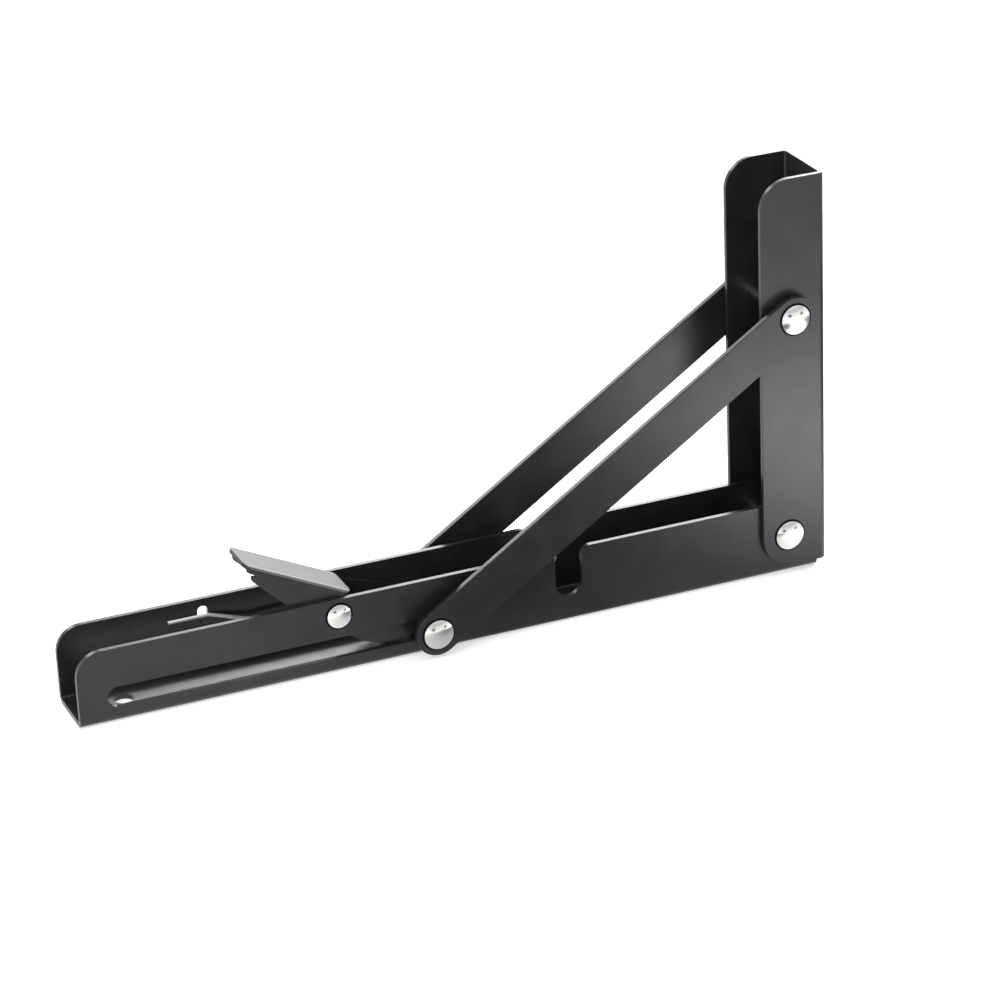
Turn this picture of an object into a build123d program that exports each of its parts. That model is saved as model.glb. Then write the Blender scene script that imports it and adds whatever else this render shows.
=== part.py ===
from build123d import *
from math import cos, pi, radians, sin, sqrt, tan
import os

# Folding shelf bracket, open and locked, in millimetres
# +X points to the wall, -Y to the front and +Z up, with the origin on the shelf face under the hinge

# Arms, both folded from one gauge of sheet
sheet = 2.0
long_inside_bend = 1.0
long_width = 26.5
long_height = 30.0
long_end_corner = 10.0
slot_end_margin = 11.1
short_inside_bend = 1.1
short_flange_reach = 11.2
short_rise = 146.5
short_foot = 13.0
short_top_corner = 12.0
arm_side_gap = 0.45
arm_web_gap = 1.2

# Linkage: hinge, brace rivet and slide pin
hinge_height = 16.9
brace_rivet_rise = 91.5
brace_rivet_setback = 1.0
slide_height = 10.2
strap_length = 180.0
strap_width = 17.5
strap_thickness = 2.5
strap_side_gap = 1.9

# Slot and notch in the long arm's flanges
slot_gap = 0.3
slot_open_play = 0.05
slot_folded_play = 2.3
notch_lead = 1.5
notch_width = 11.2
notch_floor = 10.6
notch_corner = 3.5

# Screw holes, which line up when the bracket is folded
screw_hole_radius = 3.75
screw_first = 34.3
screw_pitch = 86.7
end_screw_margin = 20.8

# Rivets, each with a shank, a thinner tenon through the outer sheet and a domed head
hinge_shank_radius = 4.0
brace_shank_radius = 3.1
pin_radius = 3.8
lever_shank_radius = 3.0
tenon_step = 0.9
head_radius = 5.85
head_rim = 0.5
head_dome = 1.7
lever_head_radius = 4.7
lever_head_dome = 1.3
running_fit = 0.05
seat_fit = 0.02
washer_radius = 6.5
collar_radius = 5.5
washer_play = 0.1
pin_end_gap = 0.3

# Release lever, placed from the locked slide pin
lever_sheet = 1.5
lever_inside_bend = 1.0
lever_width = 22.0
lever_pivot_behind_pin = 36.65
lever_pivot_height = 23.2
plate_tilt = 26.0
plate_tip_reach = 42.2
plate_length = 45.4
plate_height = 9.3
plate_tip_corner = 5.0
plate_end_corner = 5.0
bend_relief = 0.7
nose_gap = 0.35
nose_behind_pin = 1.4
nose_depth = 5.6
lip_lead = 2.7
lip_drop = 4.0
waist_back = 10.5
waist_drop = 1.2
belly_front = 2.0
side_corner = 1.2

# Latch spring, one bent wire with a coil on the lever rivet, and the hook lanced from the rear flange for it
wire_radius = 0.85
wire_sides = 8
coil_gap = 0.4
coil_pitch = 1.85
coil_turns = 2.5
coil_start_y = 6.0
long_leg_run = 27.0
short_leg_run = 12.0
wire_bend = 3.0
window_behind_pivot = 45.2
window_top = 27.0
window_floor = 20.9
window_width = 4.2
hook_width = 1.8
hook_reach = 2.2
hook_corner = 0.6
spring_tail_height = 23.5
spring_tail_lead = 1.6
spring_tail_length = 14.2
spring_flange_gap = 0.1
wire_seat_gap = 0.05

# Levels across the bracket, from the middle plane outwards
long_half = long_width / 2
short_half = long_half + arm_side_gap + sheet
strap_inner = short_half + strap_side_gap
strap_outer = strap_inner + strap_thickness

# Places along the bracket
hinge_end_radius = long_height - hinge_height
wall_face = hinge_end_radius + arm_web_gap + sheet
brace_rivet_height = hinge_height + brace_rivet_rise
open_drop = brace_rivet_height - slide_height
open_run = sqrt(strap_length**2 - open_drop**2)
pin_x = brace_rivet_setback - open_run
folded_drop = hinge_height + brace_rivet_setback - slide_height
folded_pin_x = -brace_rivet_rise - sqrt(strap_length**2 - folded_drop**2)
slot_radius = pin_radius + slot_gap
slot_start = folded_pin_x - slot_folded_play - slot_radius
slot_end = pin_x + slot_open_play + slot_radius
free_end = slot_start - slot_end_margin
lever_x = pin_x - lever_pivot_behind_pin

# Hook under the latch spring's long leg
hook_x = lever_x - window_behind_pivot
hook_top = spring_tail_height - wire_radius - wire_seat_gap
hook_drop = hook_top - window_floor + sheet / 2


def channel_section(plane, width, height, thickness, inside_bend):
    """Draws the section of a folded channel, with its web on the plane's X axis."""
    with BuildSketch(plane) as section:
        with BuildLine():
            FilletPolyline(
                (-width / 2, height),
                (-width / 2, 0),
                (width / 2, 0),
                (width / 2, height),
                radius=inside_bend + thickness,
            )
            offset(amount=thickness, side=Side.LEFT)
        make_face()
    return section.sketch


def disc(x, z, radius, level=0):
    """Draws a circle that faces the front, at a level in front of the middle plane."""
    with BuildSketch(Plane.XZ.offset(level)) as circle:
        with Locations((x, z)):
            Circle(radius)
    return circle.sketch


def ring(x, z, level, inner_radius, outer_radius):
    """Draws a flat ring that faces the front, at a level in front of the middle plane."""
    with BuildSketch(Plane.XZ.offset(level)) as circles:
        with Locations((x, z)):
            Circle(outer_radius)
            Circle(inner_radius, mode=Mode.SUBTRACT)
    return circles.sketch


def domed_head(x, z, side, seat, radius, dome):
    """Makes a rivet head on one side: a disc on its seat, rounded by a ball that leaves a short rim."""
    crown = seat + head_rim + dome
    ball_radius = (radius**2 + dome**2) / (2 * dome)
    with BuildPart() as head:
        extrude(disc(x, z, radius, side * seat), amount=side * (crown - seat))
        with Locations((x, -side * (crown - ball_radius), z)):
            Sphere(ball_radius, mode=Mode.INTERSECT)
    return head.part


# Long arm, flanges up, with its free end and its round hinge end
with BuildPart() as long_arm:
    arm_start = Plane.YZ.offset(free_end)
    extrude(
        channel_section(arm_start, long_width, long_height, sheet, long_inside_bend),
        amount=hinge_end_radius - free_end,
    )
    with BuildSketch(Plane.XZ):
        with Locations((free_end, 0)):
            Rectangle(hinge_end_radius - free_end, long_height, align=Align.MIN)
        with Locations((-brace_rivet_rise - notch_lead, notch_floor + long_height / 2)):
            SlotOverall(long_height, notch_width, rotation=90, mode=Mode.SUBTRACT)
        with Locations(((slot_start + slot_end) / 2, slide_height)):
            SlotOverall(slot_end - slot_start, 2 * slot_radius, mode=Mode.SUBTRACT)
        fillet(vertices().group_by(Axis.Y)[-1].sort_by(Axis.X)[0], long_end_corner)
        fillet(vertices().group_by(Axis.Y)[-1].sort_by(Axis.X)[-1], hinge_end_radius)
        fillet(vertices().group_by(Axis.Y)[-1].sort_by(Axis.X)[1:3], notch_corner)
    extrude(amount=long_half, both=True, mode=Mode.INTERSECT)
    for hole in (
        disc(0, hinge_height, hinge_shank_radius + running_fit),
        disc(lever_x, lever_pivot_height, lever_shank_radius - tenon_step + seat_fit),
    ):
        extrude(hole, amount=long_width, both=True, mode=Mode.SUBTRACT)
    with BuildSketch(Plane.XZ.offset(-long_half)):
        with Locations((hook_x, (window_floor + window_top) / 2)):
            SlotOverall(window_top - window_floor, window_width, rotation=90)
    extrude(amount=2 * sheet, mode=Mode.SUBTRACT)
    with BuildSketch(Plane.YZ.offset(hook_x)):
        with Locations((long_half - sheet - hook_reach, hook_top)):
            Rectangle(hook_reach + sheet, hook_drop, align=(Align.MIN, Align.MAX))
        fillet(vertices().group_by(Axis.X)[0], hook_corner)
        fillet(vertices().group_by(Axis.X)[-1].sort_by(Axis.Y)[-1], hook_drop - hook_corner)
    extrude(amount=hook_width / 2, both=True)
    with BuildSketch(Plane.XY):
        with Locations((-screw_first, 0), (-screw_first - screw_pitch, 0), (free_end + end_screw_margin, 0)):
            Circle(screw_hole_radius)
    extrude(amount=2 * sheet, mode=Mode.SUBTRACT)

# Short arm, upright outside the long arm's flanges
with BuildPart() as short_arm:
    arm_base = Plane((wall_face, 0, hinge_height - short_foot), x_dir=(0, -1, 0), z_dir=(0, 0, -1))
    extrude(
        channel_section(arm_base, 2 * short_half, wall_face + short_flange_reach, sheet, short_inside_bend),
        amount=-short_foot - short_rise,
    )
    with BuildSketch(Plane.XZ):
        with Locations((-short_flange_reach, hinge_height - short_foot)):
            Rectangle(wall_face + short_flange_reach, short_foot + short_rise, align=Align.MIN)
        fillet(vertices().group_by(Axis.X)[0].sort_by(Axis.Y)[0], short_foot)
        fillet(vertices().group_by(Axis.X)[0].sort_by(Axis.Y)[-1], short_top_corner)
    extrude(amount=short_half, both=True, mode=Mode.INTERSECT)
    for hole in (
        disc(0, hinge_height, hinge_shank_radius - tenon_step + seat_fit),
        disc(brace_rivet_setback, brace_rivet_height, brace_shank_radius + running_fit),
    ):
        extrude(hole, amount=short_half, both=True, mode=Mode.SUBTRACT)
    with BuildSketch(Plane.YZ.offset(wall_face)):
        with Locations((0, hinge_height + screw_first), (0, hinge_height + screw_first + screw_pitch)):
            Circle(screw_hole_radius)
    extrude(amount=-2 * sheet, mode=Mode.SUBTRACT)

# Rivets: the hinge rivet is fixed in the short arm, the brace rivet in both straps, the lever rivet in the long arm
rivets = {
    "hinge_rivet": (0, hinge_height, hinge_shank_radius, short_half, sheet, head_radius, head_dome),
    "brace_rivet": (
        brace_rivet_setback, brace_rivet_height, brace_shank_radius, strap_outer, strap_thickness, head_radius,
        head_dome,
    ),
    "lever_rivet": (
        lever_x, lever_pivot_height, lever_shank_radius, long_half, sheet, lever_head_radius, lever_head_dome
    ),
}
finished = {"long_arm": long_arm, "short_arm": short_arm}
for name, (x, z, shank_radius, seat, tenon_length, rim_radius, dome) in rivets.items():
    heads = [domed_head(x, z, side, seat, rim_radius, dome) for side in (1, -1)]
    with BuildPart() as rivet:
        extrude(disc(x, z, shank_radius), amount=seat - tenon_length, both=True)
        extrude(disc(x, z, shank_radius - tenon_step), amount=seat, both=True)
        add(heads)
    finished[name] = rivet

# Slide pin's shank, which runs in both slots
with BuildPart() as slide_pin:
    extrude(disc(pin_x, slide_height, pin_radius), amount=strap_inner - pin_end_gap, both=True)

# Release lever: a pressing plate with a folded lip, and two side plates that carry the latch nose
nose_floor = slide_height + pin_radius + nose_gap
nose_x = pin_x - pin_radius - nose_behind_pin
bend_depth = lever_sheet + lever_inside_bend
down = Vector(-sin(radians(plate_tilt)), 0, -cos(radians(plate_tilt)))
along = Vector(cos(radians(plate_tilt)), 0, -sin(radians(plate_tilt)))
plate_foot = Vector(lever_x, 0, lever_pivot_height) - down * plate_height
plate_tip = plate_foot - along * plate_tip_reach
plate_end = plate_tip + along * plate_length
lip_tip = plate_tip + down * bend_depth
lip_end = plate_end + down * bend_depth
with BuildPart() as release_lever:
    plate_start = Plane(plate_tip, x_dir=(0, -1, 0), z_dir=along)
    extrude(
        channel_section(plate_start, lever_width, bend_depth + bend_relief, lever_sheet, lever_inside_bend),
        amount=plate_length,
    )
    with BuildSketch(Plane(plate_tip, x_dir=along, z_dir=down)):
        Rectangle(plate_length, lever_width, align=(Align.MIN, Align.CENTER))
        fillet(vertices().group_by(Axis.X)[0], plate_tip_corner)
        fillet(vertices().group_by(Axis.X)[-1], plate_end_corner)
    extrude(amount=bend_depth + bend_relief, mode=Mode.INTERSECT)
    for side in (1, -1):
        with BuildSketch(Plane.XZ.offset(side * lever_width / 2)):
            with BuildLine():
                FilletPolyline(
                    (lip_tip.X + lip_lead, lip_tip.Z - lip_lead * tan(radians(plate_tilt))),
                    (lip_tip.X + lip_lead, lip_tip.Z - lip_drop),
                    (lever_x - waist_back, lever_pivot_height - waist_drop),
                    (lever_x + belly_front, nose_floor),
                    (nose_x, nose_floor),
                    (nose_x, nose_floor + nose_depth),
                    (lip_end.X, lip_end.Z),
                    radius=side_corner,
                    close=True,
                )
            make_face()
        extrude(amount=-side * lever_sheet)
    with BuildSketch(Plane(plate_tip, x_dir=along, z_dir=(0, -1, 0))) as relief:
        with Locations((0, -bend_depth - bend_relief / 2)):
            SlotOverall(2 * plate_tip_corner, bend_relief)
    pivot_hole = disc(lever_x, lever_pivot_height, lever_shank_radius + running_fit)
    for cut in (relief.sketch, pivot_hole):
        extrude(cut, amount=lever_width, both=True, mode=Mode.SUBTRACT)

# Latch spring: long leg on the rear flange's hook, coil round the lever rivet, short leg under the plate
coil_radius = lever_shank_radius + coil_gap + wire_radius
coil_height = coil_pitch * coil_turns
coil_slope = coil_pitch / (2 * pi * coil_radius)
rear_wall = long_half - sheet - spring_flange_gap - wire_radius
low = lever_pivot_height - coil_radius
with BuildPart() as latch_spring:
    with BuildLine() as coil:
        coil_plane = Plane((lever_x, coil_start_y, lever_pivot_height), x_dir=(0, 0, -1), z_dir=(0, -1, 0))
        add(coil_plane * Helix(coil_pitch, coil_height, coil_radius, mode=Mode.PRIVATE))
    top = coil.line @ 1
    with BuildLine() as short_leg:
        Line(top, top - Vector(short_leg_run, short_leg_run * coil_slope, 0))
    with BuildLine() as long_leg:
        FilletPolyline(
            (lever_x, coil_start_y, low),
            (lever_x - long_leg_run, coil_start_y + long_leg_run * coil_slope, low),
            (hook_x + spring_tail_lead, rear_wall, spring_tail_height),
            (hook_x - spring_tail_length, rear_wall, spring_tail_height),
            radius=wire_bend,
        )
    for run in (coil, short_leg, long_leg):
        with BuildSketch(Plane(run.line @ 0, z_dir=run.line % 0)):
            RegularPolygon(wire_radius, wire_sides)
        sweep(path=run.line, is_frenet=run is coil)

finished |= {"slide_pin": slide_pin, "release_lever": release_lever, "latch_spring": latch_spring}

# Pieces on both sides: strap, washer, slide collar and the slide pin's riveted end
for side, name in ((1, "front"), (-1, "rear")):
    strap_plane = Plane(
        (pin_x, -side * strap_inner, slide_height), x_dir=(open_run, 0, open_drop), z_dir=(0, -side, 0)
    )
    with BuildPart() as strap:
        with BuildSketch(strap_plane):
            with Locations((strap_length / 2, 0)):
                SlotCenterToCenter(strap_length, strap_width)
            Circle(pin_radius - tenon_step + seat_fit, mode=Mode.SUBTRACT)
            with Locations((strap_length, 0)):
                Circle(brace_shank_radius - tenon_step + seat_fit, mode=Mode.SUBTRACT)
        extrude(amount=strap_thickness)
    with BuildPart() as washer:
        bore = brace_shank_radius + seat_fit
        face = ring(brace_rivet_setback, brace_rivet_height, side * strap_inner, bore, washer_radius)
        extrude(face, amount=-side * (strap_side_gap - washer_play))
    with BuildPart() as collar:
        collar_length = strap_inner - pin_end_gap - long_half - washer_play
        face = ring(pin_x, slide_height, side * (long_half + washer_play), pin_radius + seat_fit, collar_radius)
        extrude(face, amount=side * collar_length)
    head = domed_head(pin_x, slide_height, side, strap_outer, head_radius, head_dome)
    with BuildPart() as pin_head:
        tenon = disc(pin_x, slide_height, pin_radius - tenon_step, side * strap_inner)
        extrude(tenon, amount=side * strap_thickness)
        add(head)
    finished[f"{name}_strap"] = strap
    finished[f"{name}_washer"] = washer
    finished[f"{name}_collar"] = collar
    finished[f"{name}_pin_head"] = pin_head

os.makedirs("parts", exist_ok=True)
for label, piece in finished.items():
    piece.part.label = label
    export_step(piece.part, f"parts/{label}.step")
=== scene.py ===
import math

import bpy
import bmesh
from mathutils import Matrix, Vector


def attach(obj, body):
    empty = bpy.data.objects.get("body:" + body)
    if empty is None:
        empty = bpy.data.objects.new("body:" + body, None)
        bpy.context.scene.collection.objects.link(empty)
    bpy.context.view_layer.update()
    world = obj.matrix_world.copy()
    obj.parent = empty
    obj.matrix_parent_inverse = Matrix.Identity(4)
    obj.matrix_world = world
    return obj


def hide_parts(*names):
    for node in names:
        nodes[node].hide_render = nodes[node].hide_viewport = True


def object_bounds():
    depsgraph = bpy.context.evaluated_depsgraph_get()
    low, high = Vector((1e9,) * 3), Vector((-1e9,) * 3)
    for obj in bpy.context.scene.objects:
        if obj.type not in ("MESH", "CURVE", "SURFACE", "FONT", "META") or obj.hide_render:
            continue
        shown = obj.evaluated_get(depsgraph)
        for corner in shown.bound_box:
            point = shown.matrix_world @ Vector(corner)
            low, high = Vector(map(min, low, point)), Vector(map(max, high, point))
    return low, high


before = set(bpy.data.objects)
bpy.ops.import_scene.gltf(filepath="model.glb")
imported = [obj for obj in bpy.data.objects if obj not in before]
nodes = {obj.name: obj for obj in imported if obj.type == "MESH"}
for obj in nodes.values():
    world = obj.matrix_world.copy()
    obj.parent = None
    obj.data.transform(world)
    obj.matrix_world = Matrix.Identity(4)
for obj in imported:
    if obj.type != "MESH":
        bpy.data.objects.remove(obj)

# Folding shelf bracket in metres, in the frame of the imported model
cad_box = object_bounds()

# Camera: place, angles in degrees, lens in millimetres, shift and how far it sees
camera_place = (-0.59735, -1.19576, 0.63298)
camera_yaw = 21.940
camera_pitch = 24.326
camera_roll = -2.511
camera_lens = 134.456
camera_shift_x = 0.0027
camera_reach = 20

# Range of the noise that is spread over a surface's whole range
noise_middle = (0.3, 0.7)

# Scale and detail of the noise in the coat's tone and orange peel, in the nickel, and in all other gloss
coat_tone_noise = (90, 1)
peel_noise = (900, 1)
nickel_tone_noise = (300, 3)
nickel_gloss_noise = (700, 3)
gloss_noise = (120, 1)

# Satin black coat on all sheet parts, washers and collars
coat_colours = ((0.016, 0.0155, 0.018, 1), (0.023, 0.022, 0.025, 1))
coat_roughness = (0.28, 0.31)
peel_depth = 0.00004
peel_strength = 0.06

# Nickel of the rivets, bare steel of the spring's wire, and the dull black of the painted shadow round each
# rivet head's foot
nickel_colours = ((0.86, 0.85, 0.83, 1), (0.95, 0.94, 0.92, 1))
nickel_roughness = (0.10, 0.20)
steel_colour = (0.98, 0.98, 0.97, 1)
steel_roughness = (0.34, 0.38)
painted_shadow_colour = (0.004, 0.004, 0.004, 1)
painted_shadow_roughness = (0.55, 0.65)
painted_shadow_specular = 0.05

# Floor: half its width, its roughness, and its colour to the eye and in reflections, where a painted
# near-black leaves only the floor's glow
floor_reach = 6
floor_roughness = 0.7
floor_colours = ((0.86, 0.86, 0.86, 1), (0.05, 0.05, 0.05, 1))
white = (1, 1, 1, 1)

# Light that the floor adds of its own where the camera sees it, and where a reflection does
floor_lift = 0.5
floor_sheen = 1.0

# Painted reflections: soft spots of the floor that only reflections see, glowing or dark where a softbox and
# dark cards would be mirrored, one bright and three dark: centre, radius and light
painted_reflection_spots = (
    ((0.09, -0.135, 0), 0.16, 7.3),
    ((-0.05, -0.15, 0), 0.13, 0.0),
    ((-0.1, -0.06, 0), 0.13, 0.1),
    ((0.26, 0.0, 0), 0.34, 0.0),
)

# Brightness of the surround by height of the direction, from straight ahead to overhead
roof_stops = ((0.0, 0.95), (0.15, 0.9), (0.35, 0.55), (0.65, 0.8), (1.0, 1.0))

# Dark openings of the tent, each with its direction and its half angle in degrees, and their soft rim
tent_openings = (((-0.128, -0.988, 0.056), 7), ((0.673, -0.721, 0.03), 6))
opening_colour = (0.01, 0.01, 0.01, 1)
rim_outside = 1.15
rim_inside = 0.85

# Softboxes, all aimed at one point: name, place, width, height and power
light_target = (-0.12, 0, 0.05)
softboxes = (
    ("softbox_back", (0.95, 1.7, 0.72), 1.5, 0.7, 26),
    ("softbox_edge", (-0.55, 1.75, 1.0), 0.6, 0.5, 6),
    ("softbox_left", (-1.5, -0.6, 1.0), 0.8, 0.8, 9),
    ("softbox_right", (1.7, -0.05, 1.15), 0.8, 0.5, 14),
)

# Latch spring's wire, on the lever rivet's axis
spring_axis = (-0.186503, 0.0232)
wire_radius = 0.00085
coil_radius = 0.00425
coil_pitch = 0.00185
coil_turns = 2.5
coil_steps = 36
coil_start_y = 0.006
long_leg_run = 0.027
short_leg_run = 0.012
wire_rear_y = 0.0103
wire_tail = ((-0.230103, 0.0235), (-0.245903, 0.0235))
wire_bend = 0.003
bend_steps = 5
wire_resolution = 5

# Painted shadow: dark rings round the foot of each rivet head, standing in for its contact shade: head node,
# body it rides on, sides and head height
shadow_ringed_heads = (
    ("hinge_rivet", "short_arm", (-1, 1), 0.0022),
    ("brace_rivet", "brace", (-1, 1), 0.0022),
    ("lever_rivet", "long_arm", (-1, 1), 0.0018),
    ("front_pin_head", "brace", (-1,), 0.0022),
    ("rear_pin_head", "brace", (1,), 0.0022),
)
shadow_ring_width = 0.0008
shadow_ring_rise = 0.00006
shadow_ring_play = 0.00001
shadow_ring_steps = 48

# Latch nose's lower outline in front of the locked slide pin, from the belly to the tip, and its two faces
nose_outline = (
    (-0.1850, 0.0150), (-0.1814, 0.0127), (-0.1775, 0.0103), (-0.1736, 0.0084), (-0.1696, 0.0072),
    (-0.1656, 0.0066), (-0.1615, 0.0067), (-0.1580, 0.0074), (-0.1560, 0.0086), (-0.1551, 0.0104),
    (-0.1551, 0.0152),
)
nose_levels = (0.00952, 0.01098)

# Cut edges, rounded as the coat rounds them, and how their meshes are readied, with angles in degrees
arm_edge_radius = 0.0003
lever_edge_radius = 0.00012
weld_gap = 0.000002
flat_angle = 0.2
edge_angle = 50
edge_steps = 2
smooth_weight = 90


def make_camera():
    """Sets the camera from its yaw, pitch and roll."""
    data = bpy.data.cameras.new("camera")
    data.lens = camera_lens
    data.shift_x = camera_shift_x
    data.clip_end = camera_reach
    camera = bpy.data.objects.new("camera", data)
    turn = Matrix.Rotation(-math.radians(camera_yaw), 4, "Z")
    tip = Matrix.Rotation(math.radians(90 - camera_pitch), 4, "X")
    roll = Matrix.Rotation(math.radians(camera_roll), 4, "Z")
    camera.matrix_world = Matrix.Translation(camera_place) @ turn @ tip @ roll
    bpy.context.collection.objects.link(camera)
    bpy.context.scene.camera = camera


def new_material(name):
    """Starts a node material and returns it with its tree and its shader."""
    material = bpy.data.materials.new(name)
    material.use_nodes = True
    tree = material.node_tree
    return material, tree, tree.nodes["Principled BSDF"]


def feed(tree, target, value):
    """Joins an input to a socket, or gives it a plain value."""
    if isinstance(value, bpy.types.NodeSocket):
        tree.links.new(value, target)
    else:
        target.default_value = value


def surface_noise(tree, kind):
    """Noise of a scale and detail, in the object's own metres."""
    place = tree.nodes.new("ShaderNodeTexCoord")
    noise = tree.nodes.new("ShaderNodeTexNoise")
    noise.inputs["Scale"].default_value, noise.inputs["Detail"].default_value = kind
    feed(tree, noise.inputs["Vector"], place.outputs["Object"])
    return noise.outputs["Fac"]


def noise_between(tree, kind, low, high):
    """Noise whose middle is spread from a low to a high value."""
    remap = tree.nodes.new("ShaderNodeMapRange")
    remap.inputs["From Min"].default_value, remap.inputs["From Max"].default_value = noise_middle
    remap.inputs["To Min"].default_value = low
    remap.inputs["To Max"].default_value = high
    feed(tree, remap.inputs["Value"], surface_noise(tree, kind))
    return remap.outputs["Result"]


def combine(tree, operation, first, second):
    """A sum, difference or product of two sockets or numbers."""
    node = tree.nodes.new("ShaderNodeMath")
    node.operation = operation
    feed(tree, node.inputs[0], first)
    feed(tree, node.inputs[1], second)
    return node.outputs[0]


def measure(tree, operation, vector, fixed):
    """The distance or the dot product of a vector socket and a fixed vector."""
    node = tree.nodes.new("ShaderNodeVectorMath")
    node.operation = operation
    node.inputs[1].default_value = fixed
    feed(tree, node.inputs[0], vector)
    return node.outputs["Value"]


def smooth_step(tree, value, start, end):
    """Rises softly from 0 to 1 as a value goes from start to end."""
    node = tree.nodes.new("ShaderNodeMapRange")
    node.interpolation_type = "SMOOTHSTEP"
    node.inputs["From Min"].default_value = start
    node.inputs["From Max"].default_value = end
    feed(tree, node.inputs["Value"], value)
    return node.outputs["Result"]


def blend(tree, factor, first, second):
    """Runs from one colour to another, each a colour or a socket."""
    node = tree.nodes.new("ShaderNodeMix")
    node.data_type = "RGBA"
    feed(tree, node.inputs[0], factor)
    feed(tree, node.inputs[6], first)
    feed(tree, node.inputs[7], second)
    return node.outputs[2]


def ramp(tree, value, stops):
    """A smooth grey ramp through stops of position and brightness."""
    node = tree.nodes.new("ShaderNodeValToRGB")
    node.color_ramp.interpolation = "EASE"
    elements = node.color_ramp.elements
    while len(elements) < len(stops):
        elements.new(0.5)
    for element, (place, level) in zip(elements, stops):
        element.position = place
        element.color = (level, level, level, 1)
    feed(tree, node.inputs["Fac"], value)
    return node.outputs["Color"]


def powder_coat():
    """Satin black powder coat: slightly uneven tone and gloss over a fine orange-peel surface."""
    material, tree, shader = new_material("powder_coat")
    tone = noise_between(tree, coat_tone_noise, 0, 1)
    feed(tree, shader.inputs["Base Color"], blend(tree, tone, *coat_colours))
    feed(tree, shader.inputs["Roughness"], noise_between(tree, gloss_noise, *coat_roughness))
    peel = tree.nodes.new("ShaderNodeBump")
    peel.inputs["Distance"].default_value = peel_depth
    peel.inputs["Strength"].default_value = peel_strength
    feed(tree, peel.inputs["Height"], surface_noise(tree, peel_noise))
    feed(tree, shader.inputs["Normal"], peel.outputs["Normal"])
    return material


def bright_nickel():
    """Polished nickel plate with faint rolling marks."""
    material, tree, shader = new_material("bright_nickel")
    shader.inputs["Metallic"].default_value = 1
    tone = noise_between(tree, nickel_tone_noise, 0, 1)
    feed(tree, shader.inputs["Base Color"], blend(tree, tone, *nickel_colours))
    feed(tree, shader.inputs["Roughness"], noise_between(tree, nickel_gloss_noise, *nickel_roughness))
    return material


def spring_steel():
    """Bright drawn wire, a little duller than the polished rivets."""
    material, tree, shader = new_material("spring_steel")
    shader.inputs["Metallic"].default_value = 1
    shader.inputs["Base Color"].default_value = steel_colour
    feed(tree, shader.inputs["Roughness"], noise_between(tree, gloss_noise, *steel_roughness))
    return material


def painted_shadow_black():
    """Dull black of the painted shadow round the foot of a rivet head."""
    material, tree, shader = new_material("painted_shadow_black")
    shader.inputs["Base Color"].default_value = painted_shadow_colour
    shader.inputs["Specular IOR Level"].default_value = painted_shadow_specular
    feed(tree, shader.inputs["Roughness"], noise_between(tree, gloss_noise, *painted_shadow_roughness))
    return material


def painted_floor_reflection(tree):
    """Painted reflection light of the floor: even, with each painted bright or dark spot laid over it in
    turn.
    """
    place = tree.nodes.new("ShaderNodeTexCoord").outputs["Object"]
    sheen = floor_sheen
    for centre, radius, level in painted_reflection_spots:
        spot = smooth_step(tree, measure(tree, "DISTANCE", place, centre), radius, 0)
        change = combine(tree, "MULTIPLY", spot, combine(tree, "SUBTRACT", level, sheen))
        sheen = combine(tree, "ADD", sheen, change)
    return sheen


def floor_white():
    """Pale floor that shows white to the camera and in reflections, with painted bright and dark spots that
    only reflections see, and keeps the object's shadow.
    """
    material, tree, shader = new_material("floor_white")
    shader.inputs["Roughness"].default_value = floor_roughness
    shader.inputs["Emission Color"].default_value = white
    path = tree.nodes.new("ShaderNodeLightPath")
    # Painted dark floor in reflections, so that they show only the floor's painted glow
    feed(tree, shader.inputs["Base Color"], blend(tree, path.outputs["Is Glossy Ray"], *floor_colours))
    seen = combine(tree, "MULTIPLY", path.outputs["Is Camera Ray"], floor_lift)
    # Painted reflections: the floor's even glow and its bright and dark spots, seen only by reflections
    mirrored = combine(tree, "MULTIPLY", path.outputs["Is Glossy Ray"], painted_floor_reflection(tree))
    feed(tree, shader.inputs["Emission Strength"], combine(tree, "ADD", seen, mirrored))
    return material


def make_floor():
    """A wide flat floor at the height the bracket rests on."""
    mesh = bpy.data.meshes.new("floor")
    floor = bpy.data.objects.new("floor", mesh)
    form = bmesh.new()
    bmesh.ops.create_grid(form, x_segments=1, y_segments=1, size=floor_reach)
    form.to_mesh(mesh)
    form.free()
    floor.location.z = cad_box[0][2]
    mesh.materials.append(floor_white())
    bpy.context.collection.objects.link(floor)


def opening(tree, view, tent, direction, half_angle):
    """Darkens the tent round one direction, with a soft rim."""
    facing = measure(tree, "DOT_PRODUCT", view, Vector(direction).normalized())
    outside, inside = (math.cos(math.radians(half_angle * share)) for share in (rim_outside, rim_inside))
    return blend(tree, smooth_step(tree, facing, outside, inside), tent, opening_colour)


def make_surround():
    """A light tent with a darker roof in front, and white where the camera looks past the object."""
    world = bpy.data.worlds.new("surround")
    bpy.context.scene.world = world
    world.use_nodes = True
    tree = world.node_tree
    view = tree.nodes.new("ShaderNodeTexCoord").outputs["Generated"]
    parts = tree.nodes.new("ShaderNodeSeparateXYZ")
    feed(tree, parts.inputs["Vector"], view)
    tent = ramp(tree, parts.outputs["Z"], roof_stops)
    for direction, half_angle in tent_openings:
        tent = opening(tree, view, tent, direction, half_angle)
    path = tree.nodes.new("ShaderNodeLightPath")
    back = tree.nodes["Background"]
    back.inputs["Strength"].default_value = 1
    feed(tree, back.inputs["Color"], blend(tree, path.outputs["Is Camera Ray"], tent, white))


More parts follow.
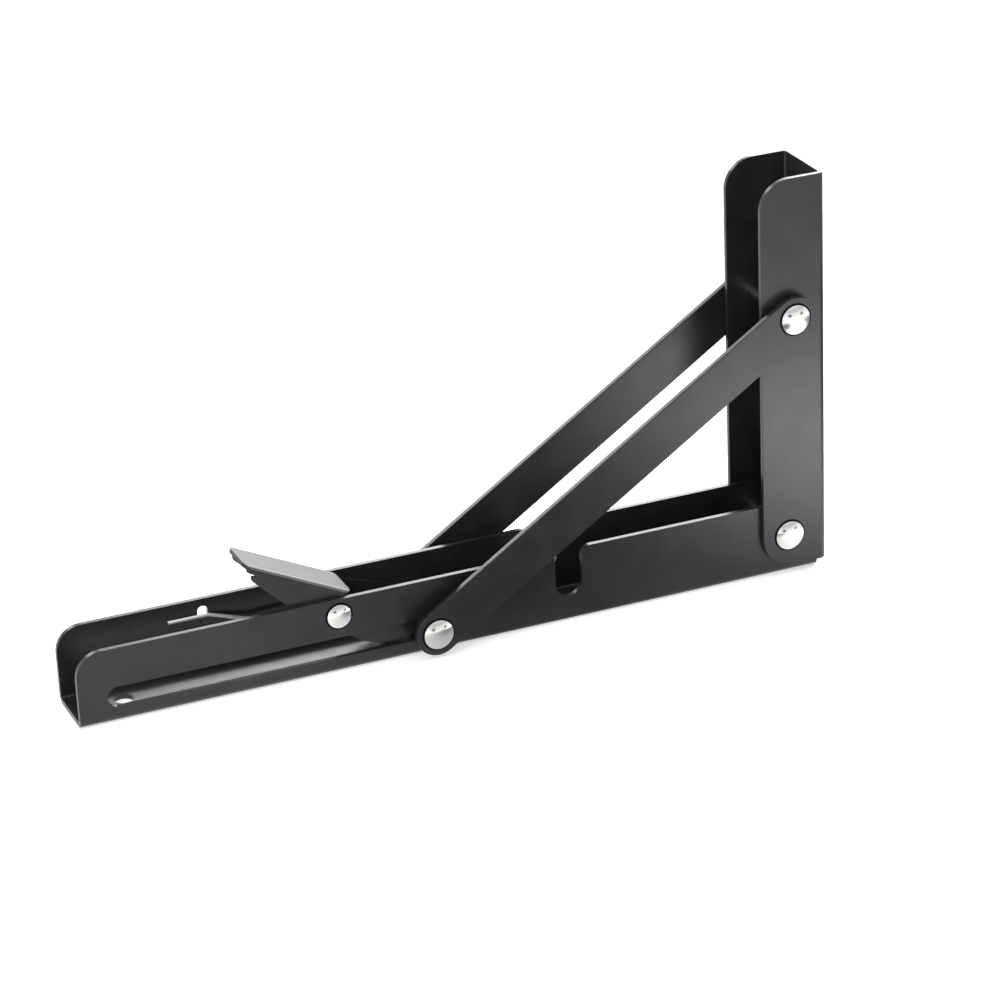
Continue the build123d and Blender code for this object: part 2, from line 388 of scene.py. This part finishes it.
def make_softboxes():
    """The back one lights the level edges and the lever's plate, the edge one the straps' slanting edges."""
    for name, place, width, height, power in softboxes:
        data = bpy.data.lights.new(name, "AREA")
        data.shape = "RECTANGLE"
        data.size = width
        data.size_y = height
        data.energy = power
        lamp = bpy.data.objects.new(name, data)
        aim = (Vector(light_target) - Vector(place)).to_track_quat("-Z", "Y")
        lamp.matrix_world = Matrix.Translation(place) @ aim.to_matrix().to_4x4()
        bpy.context.collection.objects.link(lamp)


def round_corners(points, radius):
    """Replaces the inner corners of a line of points by arcs."""
    line = [points[0]]
    for before, corner, after in zip(points, points[1:], points[2:]):
        back = (before - corner).normalized()
        ahead = (after - corner).normalized()
        turn = math.pi - back.angle(ahead)
        reach = radius * math.tan(turn / 2)
        middle = corner + (back + ahead).normalized() * radius / math.cos(turn / 2)
        start = (corner + back * reach - middle).normalized()
        end = (corner + ahead * reach - middle).normalized()
        line += [middle + start.slerp(end, step / bend_steps) * radius for step in range(bend_steps + 1)]
    return line + [points[-1]]


def wire_path():
    """Middle of the spring's wire, from the end of the long leg through the coil to that of the short leg."""
    slope = coil_pitch / (2 * math.pi * coil_radius)
    axis_x, axis_z = spring_axis
    coil = []
    for step in range(int(coil_turns * coil_steps) + 1):
        turn = 2 * math.pi * step / coil_steps
        x = axis_x + coil_radius * math.sin(turn)
        y = coil_start_y - coil_pitch * step / coil_steps
        z = axis_z - coil_radius * math.cos(turn)
        coil.append(Vector((x, y, z)))
    knee = Vector((axis_x - long_leg_run, coil_start_y + long_leg_run * slope, coil[0].z))
    tail = [Vector((x, wire_rear_y, z)) for x, z in wire_tail]
    long_leg = round_corners([coil[0], knee, *tail], wire_bend)
    short_end = coil[-1] - Vector((short_leg_run, short_leg_run * slope, 0))
    return long_leg[::-1] + coil[1:] + [short_end]


def make_wire(material):
    """Round bright wire in place of the plain latch spring."""
    data = bpy.data.curves.new("spring_wire", "CURVE")
    data.dimensions = "3D"
    data.bevel_depth = 1
    data.bevel_resolution = wire_resolution
    data.use_fill_caps = True
    path = wire_path()
    spline = data.splines.new("POLY")
    spline.points.add(len(path) - 1)
    for point, place in zip(spline.points, path):
        point.co = (*place, 1)
        point.radius = wire_radius
    data.materials.append(material)
    wire = bpy.data.objects.new("spring_wire", data)
    bpy.context.collection.objects.link(wire)
    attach(wire, "long_arm")
    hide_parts("latch_spring")


def join_loops(form, first, second):
    """Faces between two closed loops of points."""
    for step in range(len(first)):
        after = (step + 1) % len(first)
        form.faces.new((first[step], first[after], second[after], second[step]))


def place_mesh(form, name, body, material):
    """Turns a finished form into a piece that rides on a body and wears its coat."""
    bmesh.ops.recalc_face_normals(form, faces=form.faces)
    mesh = bpy.data.meshes.new(name)
    form.to_mesh(mesh)
    form.free()
    mesh.materials.append(material)
    piece = bpy.data.objects.new(name, mesh)
    bpy.context.collection.objects.link(piece)
    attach(piece, body)


def node_box(name):
    """Low and high corner of a carried-over node."""
    corners = [nodes[name].matrix_world @ Vector(corner) for corner in nodes[name].bound_box]
    return (Vector(limit(corner[axis] for corner in corners) for axis in range(3)) for limit in (min, max))


def painted_shadow_ring(middle, inner, seat, side):
    """A low ring with a sloping top round the foot of a head, for its painted shadow."""
    form = bmesh.new()
    loops = []
    for radius, rise in ((inner + shadow_ring_width, 0), (inner, shadow_ring_rise), (inner, 0)):
        loop = []
        for step in range(shadow_ring_steps):
            turn = 2 * math.pi * step / shadow_ring_steps
            x = middle.x + radius * math.cos(turn)
            z = middle.z + radius * math.sin(turn)
            loop.append(form.verts.new((x, seat + side * rise, z)))
        loops.append(loop)
    for first, second in zip(loops, loops[1:] + loops[:1]):
        join_loops(form, first, second)
    return form


def make_painted_shadow_rings(material):
    """A painted shadow ring round the foot of each rivet head."""
    for name, body, sides, head_height in shadow_ringed_heads:
        low, high = node_box(name)
        inner = (high.x - low.x) / 2 + shadow_ring_play
        for side in sides:
            seat = high.y - head_height if side > 0 else low.y + head_height
            form = painted_shadow_ring((low + high) / 2, inner, seat, side)
            place_mesh(form, f"{name}_painted_shadow_{'rear' if side > 0 else 'front'}", body, material)


def make_nose(material):
    """The two side plates' latch noses, which drop in front of the slide pin inside the slots."""
    for side, name in ((-1, "front_latch_nose"), (1, "rear_latch_nose")):
        form = bmesh.new()
        inner, outer = (
            [form.verts.new((x, side * level, z)) for x, z in nose_outline] for level in nose_levels
        )
        form.faces.new(inner)
        form.faces.new(outer[::-1])
        join_loops(form, inner, outer)
        place_mesh(form, name, "lever", material)


def round_edges(piece, radius):
    """Closes a mesh, joins its flat triangles and rounds its sharp edges."""
    weld = piece.modifiers.new("weld", "WELD")
    weld.merge_threshold = weld_gap
    flat = piece.modifiers.new("flat", "DECIMATE")
    flat.decimate_type = "DISSOLVE"
    flat.angle_limit = math.radians(flat_angle)
    bevel = piece.modifiers.new("edge", "BEVEL")
    bevel.width = radius
    bevel.segments = edge_steps
    bevel.limit_method = "ANGLE"
    bevel.angle_limit = math.radians(edge_angle)
    smooth = piece.modifiers.new("smooth", "WEIGHTED_NORMAL")
    smooth.keep_sharp = False
    smooth.weight = smooth_weight


def dress(names, material, edge_radius=0):
    """Gives carried-over nodes their material, and rounds their cut edges as paint does."""
    for name in names:
        nodes[name].data.materials.clear()
        nodes[name].data.materials.append(material)
        if edge_radius:
            round_edges(nodes[name], edge_radius)


bpy.context.scene.view_settings.view_transform = "Standard"
make_camera()
make_floor()
make_surround()
make_softboxes()
coat = powder_coat()
dress(["long_arm", "short_arm", "front_strap", "rear_strap"], coat, arm_edge_radius)
dress(["release_lever"], coat, lever_edge_radius)
dress(["front_washer", "rear_washer", "front_collar", "rear_collar"], coat)
nickel = bright_nickel()
dress(["hinge_rivet", "brace_rivet", "lever_rivet", "slide_pin", "front_pin_head", "rear_pin_head"], nickel)
dress(["latch_spring"], nickel)
make_wire(spring_steel())
make_nose(coat)
# Painted shadow: dull black rings round the feet of the rivet heads
make_painted_shadow_rings(painted_shadow_black())
